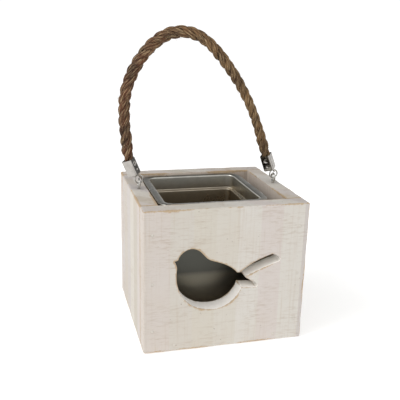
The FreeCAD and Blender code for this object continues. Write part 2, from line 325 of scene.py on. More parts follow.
def islands(mesh):
    """The points of each separate solid in a mesh."""
    bm = bmesh.new()
    bm.from_mesh(mesh)
    bmesh.ops.remove_doubles(bm, verts=bm.verts, dist=1e-6)
    seen = set()
    groups = []
    for first in bm.verts:
        if first in seen:
            continue
        seen.add(first)
        group, stack = [], [first]
        while stack:
            vertex = stack.pop()
            group.append(vertex.co[:])
            for edge in vertex.link_edges:
                other = edge.other_vert(vertex)
                if other not in seen:
                    seen.add(other)
                    stack.append(other)
        groups.append(np.array(group))
    bm.free()
    return groups


def smooth_random(points, wave, seed):
    """Smooth random values, mostly from -1 to 1, with a given wavelength."""
    source = np.random.default_rng(seed)
    total = np.zeros(len(points))
    for part in range(6):
        direction = source.normal(size=3)
        direction *= 2 * math.pi * (1 + 0.35 * part) / (wave * np.linalg.norm(direction))
        total += np.sin(points @ direction + source.uniform(0, 2 * math.pi))
    return total / 3

# %% [markdown]
# Wear needs points near the edges, and a plank straight from the saw has none between its
# corners. Cutting planes add them without moving a face, which a subdivision would do.

# %% Points near the edges
def slices(low, high):
    """Places to cut: close to both faces, then evenly between them."""
    count = max(1, round((high - low - 2 * NEAR_FACE[-1]) / SLICE))
    middle = list(np.linspace(low + NEAR_FACE[-1], high - NEAR_FACE[-1], count + 1))
    return [low + n for n in NEAR_FACE[:2]] + middle + [high - n for n in NEAR_FACE[:2]]


def distance_to_edges(points, starts, ends):
    """The distance from each point to the nearest of the edges."""
    best = np.full(len(points), 1.0)
    for start, end in zip(starts, ends):
        run = end - start
        share = np.clip(((points - start) @ run) / max(run @ run, 1e-18), 0, 1)
        nearest = start + share[:, None] * run
        best = np.minimum(best, np.linalg.norm(points - nearest, axis=1))
    return best

# %% [markdown]
# The brads show where they go in: each is long in one direction only, and its head is the end
# that is further from the middle of the box.

# %% Places of the brads' heads
brad_heads = []
for group_name in ("front_brads", "back_brads", "base_brads"):
    for points in islands(nodes[group_name].data):
        low, high = points.min(0), points.max(0)
        axis = int(np.argmax(high - low))
        outward = np.zeros(3)
        outward[axis] = np.sign(low[axis] + high[axis])
        place = (low + high) / 2
        place[axis] = high[axis] if outward[axis] > 0 else low[axis]
        brad_heads.append((place, outward))
print(len(brad_heads), "brads")

# %% [markdown]
# Two boxes settle what is where. The outer one is all five boards together, and its edges get
# sanded. The inner one is the room between the boards, and points in it get the inside paint.

# %% Sand the box's edges
inner_low = Vector((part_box("left_board")[1].x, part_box("front_board")[1].y, 0))
inner_high = Vector((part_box("right_board")[0].x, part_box("back_board")[0].y, 0))
box_low = np.min([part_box(name)[0] for name in board_names], axis=0)
box_high = np.max([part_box(name)[1] for name in board_names], axis=0)


def sand_edges(points):
    """Points brought in to the surface of a box with unevenly rounded edges."""
    radius = (BOX_ROUND * (1 + 0.3 * smooth_random(points, SAND_WAVE, 70)))[:, None]
    inner = np.clip(points, box_low + radius, box_high - radius)
    out = points - inner
    reach = np.linalg.norm(out, axis=1, keepdims=True)
    return inner + out * np.minimum(1, radius / np.maximum(reach, 1e-9))

# %% [markdown]
# A board is cut by its planes, worn along its own sharp edges, sanded with the others and then
# marked for the paint. The order matters: the edge distance is measured on the unworn board.

# %% Dress a board
def dress_board(name, seed):
    """A board's own mesh with worn edges and its three marks for the paint."""
    bm = bmesh.new()
    bm.from_mesh(nodes[name].data)
    bmesh.ops.remove_doubles(bm, verts=bm.verts, dist=1e-6)
    bmesh.ops.dissolve_limit(bm, angle_limit=math.radians(0.5), verts=bm.verts,
                             edges=bm.edges)
    sharp = []
    for edge in bm.edges:
        if len(edge.link_faces) == 2 and edge.calc_face_angle(0) > SHARP:
            middle = np.array((edge.verts[0].co + edge.verts[1].co) / 2)
            if all(np.linalg.norm(middle - place) > BRAD_CLEAR for place, _ in brad_heads):
                sharp.append([vertex.co[:] for vertex in edge.verts])
    sharp = np.array(sharp)
    low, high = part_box(name)
    for axis in range(3):
        for place in slices(low[axis], high[axis]):
            point, normal = [0, 0, 0], [0, 0, 0]
            point[axis], normal[axis] = place, 1
            bmesh.ops.bisect_plane(bm, geom=bm.verts[:] + bm.edges[:] + bm.faces[:],
                                   dist=1e-7, plane_co=point, plane_no=normal)
    bm.normal_update()
    points = np.array([vertex.co for vertex in bm.verts])
    normals = np.array([vertex.normal for vertex in bm.verts])
    gap = distance_to_edges(points, sharp[:, 0], sharp[:, 1])
    wear = np.clip(0.16 + 0.14 * smooth_random(points, WEAR_WAVE, seed), 0.03, 0.4) * MM
    wear *= np.clip(1 - gap / WORN_DEPTH, 0, 1) ** 2
    for vertex, place in zip(bm.verts, sand_edges(points - normals * wear[:, None])):
        vertex.co = place
    bmesh.ops.triangulate(bm, faces=bm.faces)
    mesh = bpy.data.meshes.new(name + "_planed")
    bm.to_mesh(mesh)
    bm.free()
    # inside the box: thin paint there, with a darker tone that is partly painted shade
    within = np.all((points[:, :2] > np.array(inner_low)[:2] - 1e-5)
                    & (points[:, :2] < np.array(inner_high)[:2] + 1e-5), axis=1)
    core = np.all((points[:, ::2] > np.array(low)[::2] + BRAD_BAND)
                  & (points[:, ::2] < np.array(high)[::2] - BRAD_BAND), axis=1)
    # the bird's sawn faces, which the paint makes brighter as painted light
    sawn = core & (np.abs(normals[:, 1]) < 0.5) & (name == "front_board")
    for attribute, values in (("edge_gap", gap / MM), ("inside", within), ("cut", sawn)):
        mesh.attributes.new(attribute, "FLOAT", "POINT").data.foreach_set("value",
                                                                        values.astype(float))
    return mesh

# %% [markdown]
# Each dressed board takes the place of the designed one and stays on the same body.

# %% The five boards
for number, (name, finish) in enumerate(pine.items()):
    mesh = dress_board(name, 20 + number)
    mesh.materials.append(finish)
    board = place_object(name + "_planed", mesh)
    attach(board, "case")
    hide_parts(name)
    print(name, len(mesh.polygons), "triangles")

# %% [markdown]
# ## Filler over the brads
# The boards are nailed with brads whose heads sit under the surface. A dab of filler closes each
# hole and the paint runs over it, so only a faint round shows. The dabs repeat, so Geometry
# Nodes put one flattened ball on each point of a small mesh that holds the heads' places. Two
# helpers come first: one starts a tree, and the other turns its result into a plain mesh.

# %% Helpers for Geometry Nodes
def start_nodes(name, sizes):
    """A Geometry Nodes tree with a geometry input, named sizes and a geometry output."""
    tree = bpy.data.node_groups.new(name, "GeometryNodeTree")
    tree.interface.new_socket("Geometry", in_out="INPUT", socket_type="NodeSocketGeometry")
    tree.interface.new_socket("Geometry", in_out="OUTPUT", socket_type="NodeSocketGeometry")
    for size in sizes:
        tree.interface.new_socket(size, in_out="INPUT", socket_type="NodeSocketFloat")
    return tree, add(tree, "NodeGroupInput")


def grown(base, tree, sizes, name):
    """The tree's result on a base mesh, as a plain mesh object. The base goes away."""
    modifier = base.modifiers.new(name, "NODES")
    modifier.node_group = tree
    for item in tree.interface.items_tree:
        if item.in_out == "INPUT" and item.name in sizes:
            modifier[item.identifier] = sizes[item.name]
    evaluated = base.evaluated_get(bpy.context.evaluated_depsgraph_get())
    mesh = bpy.data.meshes.new_from_object(evaluated)
    mesh.name = name
    base.modifiers.remove(modifier)
    bpy.data.objects.remove(base)
    return place_object(name, mesh)

# %% [markdown]
# The filler is a fine paste, so it has no grain, only faint clouds in the paint on it.

# %% Painted filler
FILLER_CLOUD = 1 / 700      # m, size of the paler places in it


def painted_filler(name):
    """Wood filler under the same thin paint: smooth and a little flatter than the grain."""
    material, tree, shader, place = start_material(name)
    clouds = add(tree, "ShaderNodeTexNoise", {"Vector": place, "Scale": 1 / FILLER_CLOUD,
                                              "Detail": 3})
    colour = add(tree, "ShaderNodeMix", {"Factor": clouds, "A": linear("#c3bdb3"),
                                         "B": linear("#cbc6be")}, data_type="RGBA")
    relief = add(tree, "ShaderNodeBump", {"Height": clouds, "Distance": 0.1 * MM})
    finish_shader(tree, shader, {"Base Color": colour, "Normal": relief})
    shader.inputs["Roughness"].default_value = 0.8
    return material


filler_finish = painted_filler("wood_filler_painted_over")

# %% [markdown]
# A dab is a ball with its own width and rise, turned to face the way the brad went in.

# %% Filler dabs
FILLER_RADIUS = 1.45 * MM
FILLER_RISE = 0.62 * MM     # from the sunk head up to the board's face
tree, sizes = start_nodes("filler_dabs", ["Radius", "Rise"])
ball = add(tree, "GeometryNodeMeshIcoSphere", {"Radius": 1.0, "Subdivisions": 3})
flat = add(tree, "ShaderNodeCombineXYZ", {"X": sizes.outputs["Radius"],
                                          "Y": sizes.outputs["Radius"],
                                          "Z": sizes.outputs["Rise"]})
facing = add(tree, "GeometryNodeInputNamedAttribute", {"Name": "facing"},
             data_type="FLOAT_VECTOR")
turn = add(tree, "FunctionNodeAlignRotationToVector", {"Vector": facing}, axis="Z")
dabs = add(tree, "GeometryNodeInstanceOnPoints", {"Points": sizes, "Instance": ball,
                                                  "Rotation": turn, "Scale": flat})
dabs = add(tree, "GeometryNodeRealizeInstances", {"Geometry": dabs})
dabs = add(tree, "GeometryNodeSetMaterial", {"Geometry": dabs, "Material": filler_finish})
add(tree, "NodeGroupOutput", {"Geometry": dabs})

head_mesh = bpy.data.meshes.new("brad_heads")
head_mesh.from_pydata([tuple(place) for place, _ in brad_heads], [], [])
head_mesh.attributes.new("facing", "FLOAT_VECTOR", "POINT").data.foreach_set(
    "vector", np.array([outward for _, outward in brad_heads]).ravel())
filler = grown(place_object("brad_heads", head_mesh), tree,
               {"Radius": FILLER_RADIUS, "Rise": FILLER_RISE}, "brad_filler")
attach(filler, "case")
print("filler", len(filler.data.polygons), "faces")

# %% [markdown]
# ## Plated metal
# The liner is pressed from plated sheet, which gives a soft grey shine with cloudy patches. The
# clamps are folded from polished, nickel-plated sheet, and the eyes and rings are bright wire.
# A metal takes its colour from its base colour, and its shine is set by roughness alone. Below
# the liner's rim the finish is painted darker and browner with depth, as painted shade. The
# liner's outside, which the attribute outer marks, is duller, and carries a painted reflection
# by height: pale low down, darkening upwards to a dark band above about 58 mm.

# %% Plated metal
HANDLING = 1 / 2200         # m, size of the finest handling marks
HANDLING_DEPTH = 0.01 * MM
DEEP_SHADE_FROM, DEEP_SHADE_TO = 121 * MM, 104 * MM     # heights where the painted shade starts and is full
OUTSIDE_TOP = 100 * MM      # the height that the painted reflection's tints take as 1
OUTSIDE_ROUGHNESS = 0.38
# painted reflection on the liner's outside, by height: pale low down, dark higher up
outside_painted_reflection_tints = [(0.33, "#d0cbbb"), (0.42, "#9a9689"), (0.54, "#757267"), (0.585, "#4c4c47")]


def plated(name, colours, roughness, patch):
    """A plated metal with cloudy patches and fine handling marks. patch is their size."""
    material, tree, shader, place = start_material(name)
    clouds = add(tree, "ShaderNodeTexNoise", {"Vector": place, "Scale": 1 / patch,
                                              "Detail": 3, "Roughness": 0.6})
    fine = add(tree, "ShaderNodeTexNoise", {"Vector": place, "Scale": 1 / HANDLING,
                                            "Detail": 3, "Roughness": 0.7})
    outer = add(tree, "ShaderNodeAttribute", attribute_name="outer").outputs["Fac"]
    cloud_share = add(tree, "ShaderNodeMapRange", {"Value": clouds, "From Min": 0.35,
                                                   "From Max": 0.65})
    colour = add(tree, "ShaderNodeMix", {"Factor": cloud_share, "A": linear(colours[0]),
                                         "B": linear(colours[1])}, data_type="RGBA")
    height = add(tree, "ShaderNodeSeparateXYZ", {"Vector": place}).outputs["Z"]
    # painted shade: below the rim the finish turns darker and browner by height
    deep_shade = add(tree, "ShaderNodeMapRange", {"Value": height, "From Min": DEEP_SHADE_FROM,
                                            "From Max": DEEP_SHADE_TO},
               interpolation_type="SMOOTHSTEP")
    deep_shade = add(tree, "ShaderNodeMix", {"Factor": deep_shade, "A": linear("#ffffff"),
                                       "B": linear("#d6c8b6")}, data_type="RGBA")
    colour = add(tree, "ShaderNodeMix", {"Factor": 1, "A": colour, "B": deep_shade},
                 data_type="RGBA", blend_type="MULTIPLY")
    # the outside's painted reflection, by height
    level = add(tree, "ShaderNodeMapRange", {"Value": height, "From Max": OUTSIDE_TOP})
    outside_reflection_paint = add(tree, "ShaderNodeValToRGB", {"Fac": level})
    fill_ramp(outside_reflection_paint.color_ramp, outside_painted_reflection_tints)
    colour = add(tree, "ShaderNodeMix", {"Factor": outer, "A": colour, "B": outside_reflection_paint},
                 data_type="RGBA")
    rough = add(tree, "ShaderNodeMapRange", {"Value": clouds, "From Min": 0.3, "From Max": 0.7,
                                             "To Min": roughness[0], "To Max": roughness[1]})
    rough = add(tree, "ShaderNodeMix", {"Factor": outer, "A": rough, "B": OUTSIDE_ROUGHNESS},
                data_type="FLOAT")
    bumps = add(tree, "ShaderNodeBump", {"Height": fine, "Distance": HANDLING_DEPTH,
                                         "Strength": 0.08})
    finish_shader(tree, shader, {"Base Color": colour, "Roughness": rough, "Normal": bumps})
    shader.inputs["Metallic"].default_value = 1.0
    return material

# %% [markdown]
# The pairs of colours and of roughness are for the lighter and the darker clouds. Polished sheet
# is smoothest, then wire, then the liner, and a cut brad is the dullest.

# %% Finishes of the metal pieces
liner_finish = plated("steel_sheet_pressed_and_plated", ("#c2c1b9", "#adaba4"),
                      (0.25, 0.36), 18 * MM)
clamp_finish = plated("steel_sheet_folded_nickel_plated", ("#b3afaa", "#a6a29d"),
                      (0.12, 0.22), 4.5 * MM)
wire_finish = plated("steel_wire_bent_nickel_plated", ("#c4c2bd", "#acaaa5"),
                     (0.16, 0.30), 3.3 * MM)
brad_finish = plated("steel_brad_drawn_and_cut", ("#8d8a85", "#777570"),
                     (0.35, 0.5), 2 * MM)
finishes = {
    clamp_finish: ("left_clamp", "right_clamp"),
    wire_finish: ("left_screw_eye", "right_screw_eye", "left_ring", "right_ring"),
    brad_finish: ("front_brads", "back_brads", "base_brads"),
}
for finish, names in finishes.items():
    for name in names:
        nodes[name].data.materials.clear()
        nodes[name].data.materials.append(finish)
print(sum(len(names) for names in finishes.values()), "designed pieces in metal")

# %% [markdown]
# ## The pressed liner
# A press draws the liner from one sheet: a flange with a rolled edge, a short neck, a ledge and
# long walls that lean in a little so that it leaves the die. Its bends are all soft. One
# profile, an inset from the flange's edge against height, is rounded at its bends and then
# drawn as a row of rounded rectangles, down the inside and up the outside.

# %% Sizes of the liner
liner_low, liner_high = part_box("liner_tub")
SHEET = 0.8 * MM
FLANGE = 5.8 * MM           # width of the flat flange
LEDGE = 3.0 * MM            # width of the ledge inside
NECK = 14.0 * MM            # depth of the neck, from the flange down to the ledge
CORNER = 14.0 * MM          # radius of the flange's corners, seen from above
TIGHTEST = 2.0 * MM         # and the least radius of a corner further in
ROLL_RADIUS = 0.9 * MM
ROLL_TURN = (math.radians(6), math.radians(-262))   # where the rolled edge starts and ends
ROLL_STEPS = 12
DRAFT = math.tan(math.radians(2.0))     # how far the long walls lean in
FOOT_ROUND = 5.0 * MM
CORNER_STEPS = 10
WALL_SPLITS = (0.08, 0.5, 0.92)     # points along each straight wall, as shares of it

liner_top = liner_high.z
shelf = liner_top - NECK
floor_z = liner_low.z
lean = (shelf - floor_z) * DRAFT

# %% [markdown]
# Two helpers draw it: one rounds a bent line's corners, and the other lays out one rounded
# rectangle of points. Corner radii shrink with the inset, as they do in a pressed piece.

# %% Helpers for the liner
def rounded_profile(corners, steps=5):
    """Points of a bent line: each corner (inset, z, radius) becomes an arc."""
    found = [np.array(corners[0][:2])]
    for before, corner, after in zip(corners, corners[1:], corners[2:]):
        place = np.array(corner[:2])
        back = np.array(before[:2]) - place
        ahead = np.array(after[:2]) - place
        back, ahead = back / np.linalg.norm(back), ahead / np.linalg.norm(ahead)
        half = math.acos(np.clip(back @ ahead, -1, 1)) / 2
        trim = corner[2] / math.tan(half)
        inward = (back + ahead) / np.linalg.norm(back + ahead)
        centre = place + inward * corner[2] / math.sin(half)
        first, last = place + back * trim - centre, place + ahead * trim - centre
        sweep = math.pi - 2 * half
        for step in range(steps + 1):
            share = step / steps
            mixed = (math.sin((1 - share) * sweep) * first + math.sin(share * sweep) * last)
            found.append(centre + mixed / math.sin(sweep))
    found.append(np.array(corners[-1][:2]))
    return found


def rounded_ring(inset, z):
    """Points round the liner at one inset and height."""
    radius = max(CORNER - inset, TIGHTEST)
    half = np.array([(liner_high.x - liner_low.x) / 2, (liner_high.y - liner_low.y) / 2]) - inset
    centre = np.array([(liner_high.x + liner_low.x) / 2, (liner_high.y + liner_low.y) / 2])
    quarter = np.linspace(0, math.pi / 2, CORNER_STEPS)
    ring = []
    for number, (sx, sy) in enumerate(((1, 1), (-1, 1), (-1, -1), (1, -1))):
        middle = centre + np.array([sx, sy]) * (half - radius)
        turn = quarter + number * math.pi / 2
        arc = middle + radius * np.stack([np.cos(turn), np.sin(turn)], 1)
        ring.append(arc)
    full = []
    for arc, following in zip(ring, ring[1:] + ring[:1]):
        full.extend(arc)
        full.extend(arc[-1] + (following[0] - arc[-1]) * share for share in WALL_SPLITS)
    return [(x, y, z) for x, y in full]

# %% [markdown]
# The profile runs down the inside from the flange to the floor, then back up the outside. The
# roll closes it: a wire-like curl under the flange's edge.

# %% The liner's profile
inner_corners = [
    (ROLL_RADIUS, liner_top, 0),
    (FLANGE + SHEET, liner_top, 1.5 * MM),
    (FLANGE + SHEET, shelf + SHEET, 1.0 * MM),
    (FLANGE + LEDGE + SHEET, shelf + SHEET, 1.2 * MM),
    (FLANGE + LEDGE + SHEET + lean, floor_z + SHEET, FOOT_ROUND - SHEET),
    (FLANGE + LEDGE + SHEET + lean + 2 * FOOT_ROUND, floor_z + SHEET, 0),
]
outer_corners = [
    (FLANGE + LEDGE + lean + 2 * FOOT_ROUND, floor_z, 0),
    (FLANGE + LEDGE + lean, floor_z, FOOT_ROUND),
    (FLANGE + LEDGE, shelf, 0.6 * MM),
    (FLANGE, shelf, 1.4 * MM),
    (FLANGE, liner_top - SHEET, 0.6 * MM),
    (2 * ROLL_RADIUS, liner_top - SHEET, 0),
]
inner_line = rounded_profile(inner_corners)
outer_line = rounded_profile(outer_corners)
roll = [(ROLL_RADIUS * (1 + math.cos(a)), liner_top - ROLL_RADIUS * (1 - math.sin(a)))
        for a in np.linspace(*ROLL_TURN, ROLL_STEPS)]
profile = inner_line + outer_line + roll
print(len(profile), "points in the liner's profile")

# %% [markdown]
# One ring of points for each point of the profile, and a band of faces between neighbours. Two
# flat faces close the floor, one inside and one outside, so no band joins those two rings.

# %% The liner's mesh
liner_verts = [point for inset, z in profile for point in rounded_ring(inset, z)]
count = len(liner_verts) // len(profile)
liner_faces = []
for row in range(len(profile)):
    below = (row + 1) % len(profile)
    if row == len(inner_line) - 1:
        continue
    for i in range(count):
        j = (i + 1) % count
        liner_faces.append((row * count + i, row * count + j, below * count + j,
                            below * count + i))
inner_end = (len(inner_line) - 1) * count
outer_start = len(inner_line) * count
liner_faces.append(tuple(inner_end + i for i in range(count)))
liner_faces.append(tuple(outer_start + i for i in reversed(range(count))))
liner_mesh = bpy.data.meshes.new("liner_pressed")
liner_mesh.from_pydata(liner_verts, [], liner_faces)
outer_mark = [0.0] * (len(inner_line) * count) + [1.0] * (len(outer_line) * count)
outer_mark += [0.0] * (len(roll) * count)
liner_mesh.attributes.new("outer", "FLOAT", "POINT").data.foreach_set("value", outer_mark)
bm = bmesh.new()
bm.from_mesh(liner_mesh)
bmesh.ops.remove_doubles(bm, verts=bm.verts, dist=1e-6)
bmesh.ops.recalc_face_normals(bm, faces=bm.faces)
bm.to_mesh(liner_mesh)
bm.free()
liner_mesh.polygons.foreach_set("use_smooth", [True] * len(liner_mesh.polygons))
liner_mesh.materials.append(liner_finish)
liner = place_object("liner_pressed", liner_mesh)
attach(liner, "liner")
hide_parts("liner_tub")
print("liner", len(liner_mesh.polygons), "faces")

# %% [markdown]
# ## Sisal
# Sisal is a coarse leaf fibre: dull brown. Golden streaks along its yarns are painted
# highlights, and near-black streaks between its fibres are painted shade. The streaks follow a
# UV map that turns with the yarns, and groove, an attribute, darkens the hollows between yarns
# and between strands as painted shade.

# %% Sisal
ALONG_YARN = 0.07           # a streak's width over its length
STREAKS, THREADS = 30, 75   # how many painted highlight and painted shade streaks, across the map
PATCH = 1 / 85              # m, size of the lighter and darker places


def sisal(name):
    """Spun sisal: brown, darker and redder at the left end, partly painted shade, and more olive
    at the right.
    """
    material, tree, shader, place = start_material(name)
    yarn = add(tree, "ShaderNodeUVMap", uv_map="yarn")
    along_yarn = add(tree, "ShaderNodeMapping", {"Vector": yarn, "Scale": (1, ALONG_YARN, 1)})
    streaks = add(tree, "ShaderNodeTexNoise", {"Vector": along_yarn, "Scale": STREAKS,
                                               "Detail": 4, "Roughness": 0.7})
    threads = add(tree, "ShaderNodeTexNoise", {"Vector": along_yarn, "Scale": THREADS,
                                               "Detail": 3, "Roughness": 0.75})
    patches = add(tree, "ShaderNodeTexNoise", {"Vector": place, "Scale": 1 / PATCH,
                                               "Detail": 3})
    patch_share = add(tree, "ShaderNodeMapRange", {"Value": patches, "From Min": 0.36,
                                                   "From Max": 0.64})
    # the left end's darker, redder colours are partly the fibre's own hue and partly painted
    # shade
    shaded_red_brown = add(tree, "ShaderNodeMix", {"Factor": patch_share, "A": linear("#623c28"),
                                            "B": linear("#372017")}, data_type="RGBA")
    olive = add(tree, "ShaderNodeMix", {"Factor": patch_share, "A": linear("#8a6b47"),
                                        "B": linear("#553e28")}, data_type="RGBA")
    sideways = add(tree, "ShaderNodeSeparateXYZ", {"Vector": place})
    end_share = add(tree, "ShaderNodeMapRange", {"Value": sideways, "From Min": -60 * MM,
                                                 "From Max": 10 * MM})
    colour = add(tree, "ShaderNodeMix", {"Factor": end_share, "A": shaded_red_brown, "B": olive},
                 data_type="RGBA")
    # painted highlights: pale golden streaks along the yarns
    painted_highlight = add(tree, "ShaderNodeMapRange", {"Value": streaks, "From Min": 0.50,
                                              "From Max": 0.66, "To Max": 0.75})
    colour = add(tree, "ShaderNodeMix", {"Factor": painted_highlight, "A": colour,
                                         "B": linear("#d3ba91")}, data_type="RGBA")
    # painted shade: near-black streaks between the fibres
    painted_fibre_shade = add(tree, "ShaderNodeMapRange", {"Value": threads, "From Min": 0.52,
                                            "From Max": 0.68, "To Max": 0.85})
    colour = add(tree, "ShaderNodeMix", {"Factor": painted_fibre_shade, "A": colour, "B": linear("#2a1d15")},
                 data_type="RGBA")
    # painted shade in the hollows between yarns and between strands
    groove = add(tree, "ShaderNodeAttribute", attribute_name="groove").outputs["Fac"]
    painted_groove_shade = add(tree, "ShaderNodeMapRange", {"Value": groove, "From Min": 0.15,
                                              "From Max": 0.80, "To Max": 0.9})
    colour = add(tree, "ShaderNodeMix", {"Factor": painted_groove_shade, "A": colour,
                                         "B": linear("#2a1d15")}, data_type="RGBA")
    relief = add(tree, "ShaderNodeBump", {"Height": streaks, "Distance": 0.5 * MM})
    relief = add(tree, "ShaderNodeBump", {"Height": threads, "Distance": 0.35 * MM,
                                          "Normal": relief})
    finish_shader(tree, shader, {"Base Color": colour, "Normal": relief})
    shader.inputs["Roughness"].default_value = 0.85
    shader.inputs["Specular IOR Level"].default_value = 0.25
    return material


sisal_rope = sisal("sisal_spun_and_laid")

# %% [markdown]
# ## The laid rope
# Three strands are laid up to the right, so their crowns climb like the middle of a letter Z.
# Each strand is spun from yarns turning the other way, and so the yarns lie nearly along the
# rope. A strand is a tube round a helix about the rope's middle line, and its section has a
# ridge for each yarn. The clamps squeeze both ends, and the rope is pulled thinner on the right.

# %% Sizes of the strands
STRANDS = 3
LAY_LENGTH = 26 * MM        # one turn of a strand
STRAND_RADIUS = 2.9 * MM
HELIX_RADIUS = ROPE_DIAMETER / 2 - STRAND_RADIUS
YARNS = 7
YARN_TURN = 25 * MM         # one turn of a yarn in its strand, the other way
AROUND = 56                 # points round a strand
YARN_MAP = 18 * MM          # length of yarn that one UV tile covers
WOBBLE_WAVE = 21 * MM       # hand-made unevenness: how slowly a strand wanders
WOBBLE_TURN, WOBBLE_OUT = 0.14, 0.06    # round the rope in radians, and in or out as a share
SWELL_WAVE, SWELL = 9 * MM, 0.035       # and how its thickness changes, as a share
ROUGH_WAVE, ROUGH = 2.3 * MM, 0.02      # and how rough its surface is, as a share
PINCHED = 0.72              # the rope's size in a clamp
CLAMP_RIM = 14.0 * MM       # where the clamps' rims lie along the rope
PINCH_EASE = 9 * MM         # the rope swells back to its own size over this length
# how thick the rope is at shares of its length
SIZE_ALONG = [(0, 0.95), (0.15, 0.93), (0.30, 0.98), (0.47, 1.0), (0.56, 0.91), (0.62, 0.93),
              (0.70, 0.86), (0.76, 0.80), (0.86, 0.79), (0.92, 0.90), (1, 0.94)]

along = np.linspace(0, rope_length, ROPE_STEPS)
tangent = np.gradient(rope_line, axis=0)
tangent /= np.linalg.norm(tangent, axis=1)[:, None]
across = np.tile([0.0, 1.0, 0.0], (ROPE_STEPS, 1))
normal = np.cross(across, tangent)
end_gap = np.minimum(along, rope_length - along)
eased = np.clip((end_gap - CLAMP_RIM) / PINCH_EASE, 0, 1)
eased = eased ** 2 * (3 - 2 * eased)
thinning = np.interp(along / rope_length, *zip(*SIZE_ALONG))
squeeze = PINCHED + (thinning - PINCHED) * eased
print("rope", ROPE_STEPS, "steps")

# %% [markdown]
# Each step along the rope gets a ring of points for each strand. A point's groove says how far
# down it sits, run is the way its yarn goes, and free is 1 where fibres may spring out of it.

# %% Rings round the strands
verts, grooves, runs, free = [], [], [], []
yarn_slope = -2 * math.pi * STRAND_RADIUS / YARN_TURN
around = np.linspace(0, 2 * math.pi, AROUND, endpoint=False)
for strand in range(STRANDS):
    spots = np.stack([along, along * 0, along * 0 + strand], 1)
    wobble = smooth_random(spots, WOBBLE_WAVE, 40 + strand)
    swell = smooth_random(spots, SWELL_WAVE, 50 + strand)
    turn = 2 * math.pi * (strand / STRANDS + along / LAY_LENGTH) + WOBBLE_TURN * wobble
    out = np.cos(turn)[:, None] * normal + np.sin(turn)[:, None] * across
    offset = HELIX_RADIUS * squeeze * (1 + WOBBLE_OUT * wobble)
    centre = rope_line + out * offset[:, None]
    own = np.gradient(centre, axis=0)
    own /= np.linalg.norm(own, axis=1)[:, None]
    side = np.cross(own, out)
    side /= np.linalg.norm(side, axis=1)[:, None]
    outward = np.cross(side, own)
    for i in range(ROPE_STEPS):
        twist = around + 2 * math.pi * along[i] / YARN_TURN
        ridge = np.abs(np.sin(YARNS * twist / 2))
        rough = ROUGH * np.sin(3 * twist + 1.7 * strand) * np.sin(along[i] / ROUGH_WAVE)
        radius = STRAND_RADIUS * squeeze[i] * (0.90 + 0.12 * ridge ** 0.6 + rough)
        radius = radius * (1 + SWELL * swell[i])
        spokes = np.cos(around)[:, None] * outward[i] + np.sin(around)[:, None] * side[i]
        ring = centre[i] + spokes * radius[:, None]
        reach = np.linalg.norm(ring - rope_line[i], axis=1) / (ROPE_DIAMETER / 2 * squeeze[i])
        hidden = np.clip((0.90 - reach) / 0.28, 0, 1)
        # groove: how far down a point sits, which the sisal darkens as painted shade
        grooves.extend(np.maximum((1 - ridge) ** 2, hidden))
        verts.extend(ring)
        around_way = np.cos(around)[:, None] * side[i] - np.sin(around)[:, None] * outward[i]
        runs.extend(own[i] + yarn_slope * around_way)
        free.extend(np.full(AROUND, float(eased[i] > 0.02)) * (hidden < 0.5))
print("strands", len(verts), "points")

# %% [markdown]
# Faces join neighbouring rings, and a cap closes each end. The UV map turns with the yarns.

# %% The strands' mesh
faces, uvs = [], []
for strand in range(STRANDS):
    base = strand * ROPE_STEPS * AROUND
    for i in range(ROPE_STEPS - 1):
        for j in range(AROUND):
            k = (j + 1) % AROUND
            a, b = base + i * AROUND + j, base + i * AROUND + k
            faces.append((a, a + AROUND, b + AROUND, b))
            u, v = j / AROUND + along[i] / YARN_TURN, along[i] / YARN_MAP
            length = along[i + 1] - along[i]
            du, dv, step = length / YARN_TURN, length / YARN_MAP, 1 / AROUND
            uvs.extend(((u, v), (u + du, v + dv), (u + du + step, v + dv), (u + step, v)))
    for end, order in ((0, 1), (ROPE_STEPS - 1, -1)):
        faces.append(tuple([base + end * AROUND + j for j in range(AROUND)][::order]))
        uvs.extend([(0.5, 0.5)] * AROUND)
strand_mesh = bpy.data.meshes.new("rope_strands")
strand_mesh.from_pydata([tuple(v) for v in verts], [], faces)
strand_mesh.uv_layers.new(name="yarn").data.foreach_set("uv", np.array(uvs).ravel())
strand_mesh.attributes.new("groove", "FLOAT", "POINT").data.foreach_set("value", grooves)
strand_mesh.attributes.new("free", "FLOAT", "POINT").data.foreach_set("value", free)
strand_mesh.attributes.new("run", "FLOAT_VECTOR", "POINT").data.foreach_set(
    "vector", np.array(runs).ravel())
strand_mesh.polygons.foreach_set("use_smooth", [True] * len(faces))
strand_mesh.materials.append(sisal_rope)
rope = place_object("rope_strands", strand_mesh)
print("strands", len(faces), "faces")

# %% [markdown]
# ## Stray fibres
# A new sisal rope bristles with short ends that spring out of its yarns. Geometry Nodes scatter
# points over the strands, stand one thin bent fibre on each, and lean it along the yarn that it
# comes from. None grows inside a clamp, which the attribute free sees to.

# %% Stray fibres
FIBRES = 230000.0           # on a square metre of yarn
FIBRE_LENGTH = 4.6 * MM     # on average
FIBRE_RADIUS = 0.065 * MM
FIBRE_LIFT = 0.42           # how far a fibre leans out of its yarn
FIBRE_STRAY = 0.45          # and how far it turns any other way


def loose_sisal(name):
    """Single sisal fibres: paler than the yarns, and a little shiny."""
    material, tree, shader, place = start_material(name)
    tones = add(tree, "ShaderNodeTexNoise", {"Vector": place, "Scale": 400, "Detail": 2})
    share = add(tree, "ShaderNodeMapRange", {"Value": tones, "From Min": 0.35,
                                             "From Max": 0.65})
    colour = add(tree, "ShaderNodeMix", {"Factor": share, "A": linear("#6a4a32"),
                                         "B": linear("#ad9066")}, data_type="RGBA")
    finish_shader(tree, shader, {"Base Color": colour})
    shader.inputs["Roughness"].default_value = 0.6
    return material


fibre_finish = loose_sisal("sisal_single_fibres")

# %% [markdown]
# A fibre's way is the sum of three: along its yarn, up from the surface and a little astray. One
# bent hair with three sides serves for all of them, scaled to a length of its own on each point.

